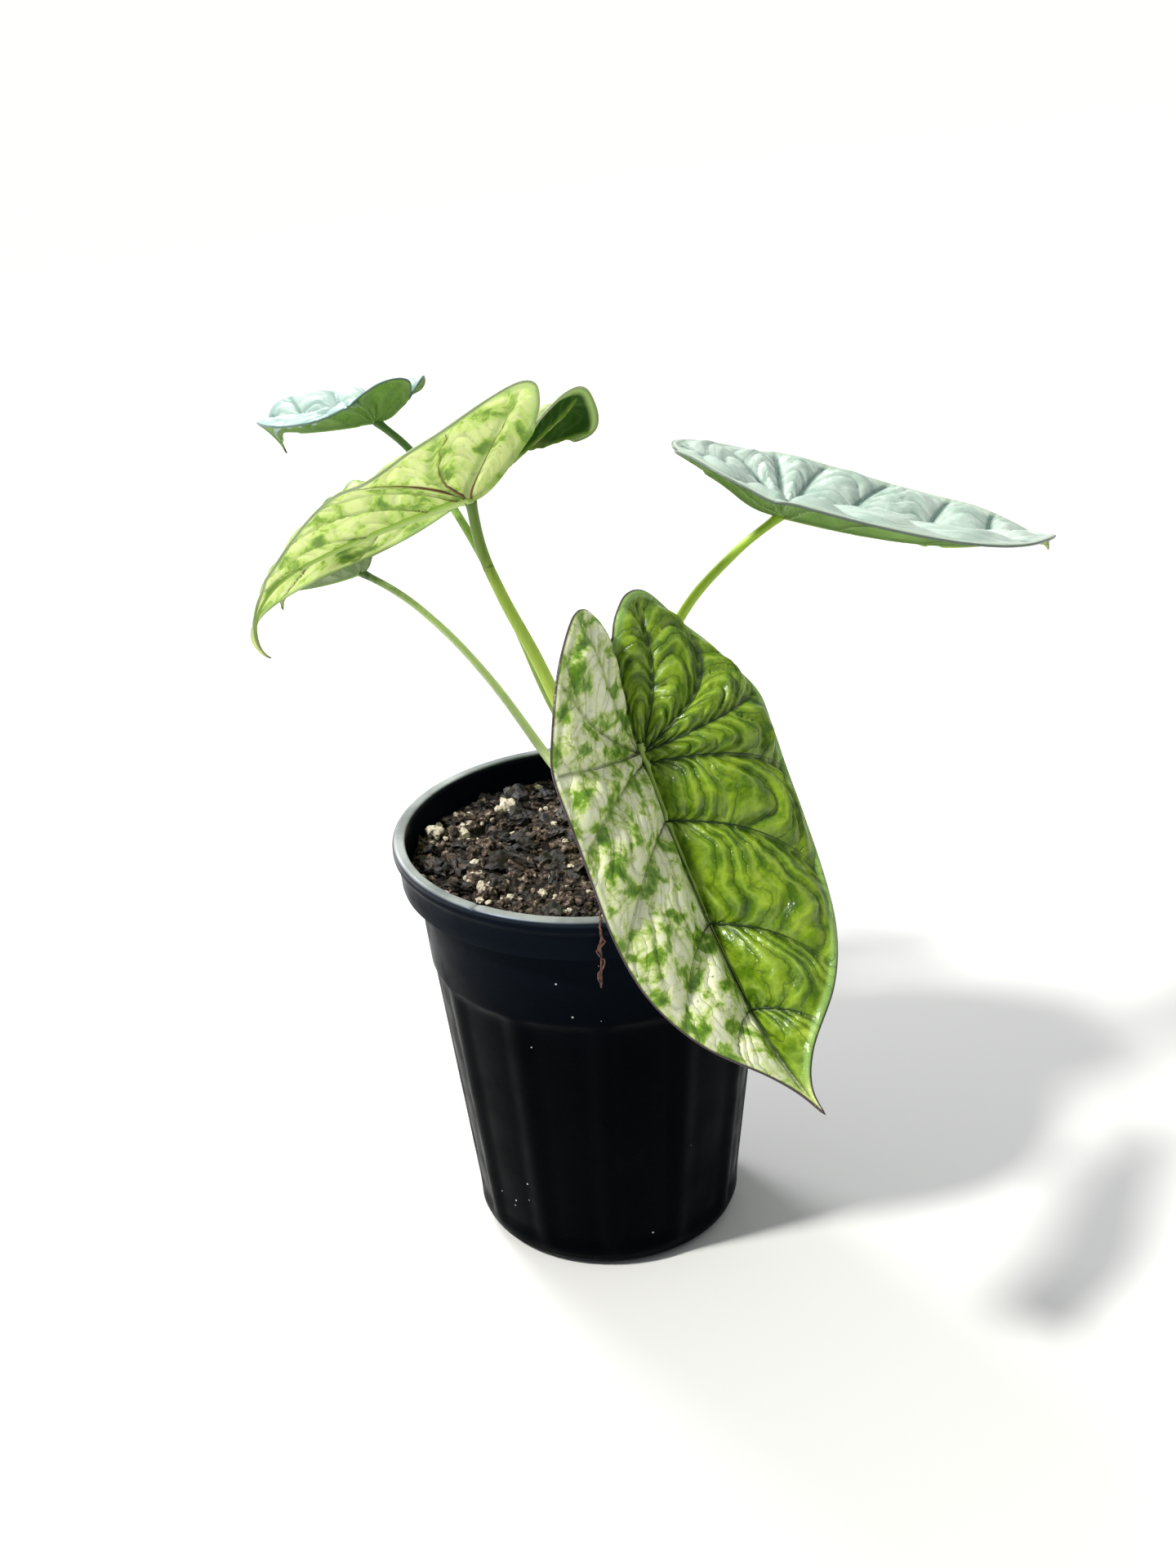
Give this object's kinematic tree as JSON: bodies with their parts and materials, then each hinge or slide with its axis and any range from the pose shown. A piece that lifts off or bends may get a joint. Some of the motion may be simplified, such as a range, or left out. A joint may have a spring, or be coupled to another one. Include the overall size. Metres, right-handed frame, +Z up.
{
  "type": "potted alocasia",
  "caption": "Potted alocasia: cupped, quilted heart-shaped leaves on slender stems from a short crown, in a tapered fluted nursery pot filled with potting mix.",
  "frame": {"origin": "middle of the underside of the pot's foot, where the pot stands", "axes": "+Z up, -Y towards the side from which the largest leaf hangs over the rim, +X to the right seen from there"},
  "size_m": [0.2433, 0.2229, 0.2794],
  "materials": {
    "pot_plastic": "satin black injection-moulded polypropylene",
    "potting_mix": "damp coir and bark with perlite grains",
    "crown_sheath": "satin living tissue",
    "leaf_stem": "satin living tissue",
    "leaf_front": "satin quilted blade, half green and half cream",
    "leaf_centre": "satin quilted blade, pale and lit from behind",
    "leaf_upper": "satin quilted blade, pale upper face",
    "leaf_lower": "satin quilted blade, grey-green underside",
    "leaf_right": "satin quilted blade, silvery upper face",
    "dry_root": "dull dried root"
  },
  "bodies": {
    "root": {"pot": "pot_plastic", "soil": "potting_mix", "crown": "crown_sheath", "leaf_front": "leaf_front", "leaf_centre": "leaf_centre", "leaf_upper": "leaf_upper", "leaf_lower": "leaf_lower", "leaf_right": "leaf_right", "stem_front": "leaf_stem", "stem_centre": "leaf_stem", "stem_upper": "leaf_stem", "stem_lower": "leaf_stem", "stem_right": "leaf_stem", "rootlet": "dry_root"}
  },
  "joints": []
}
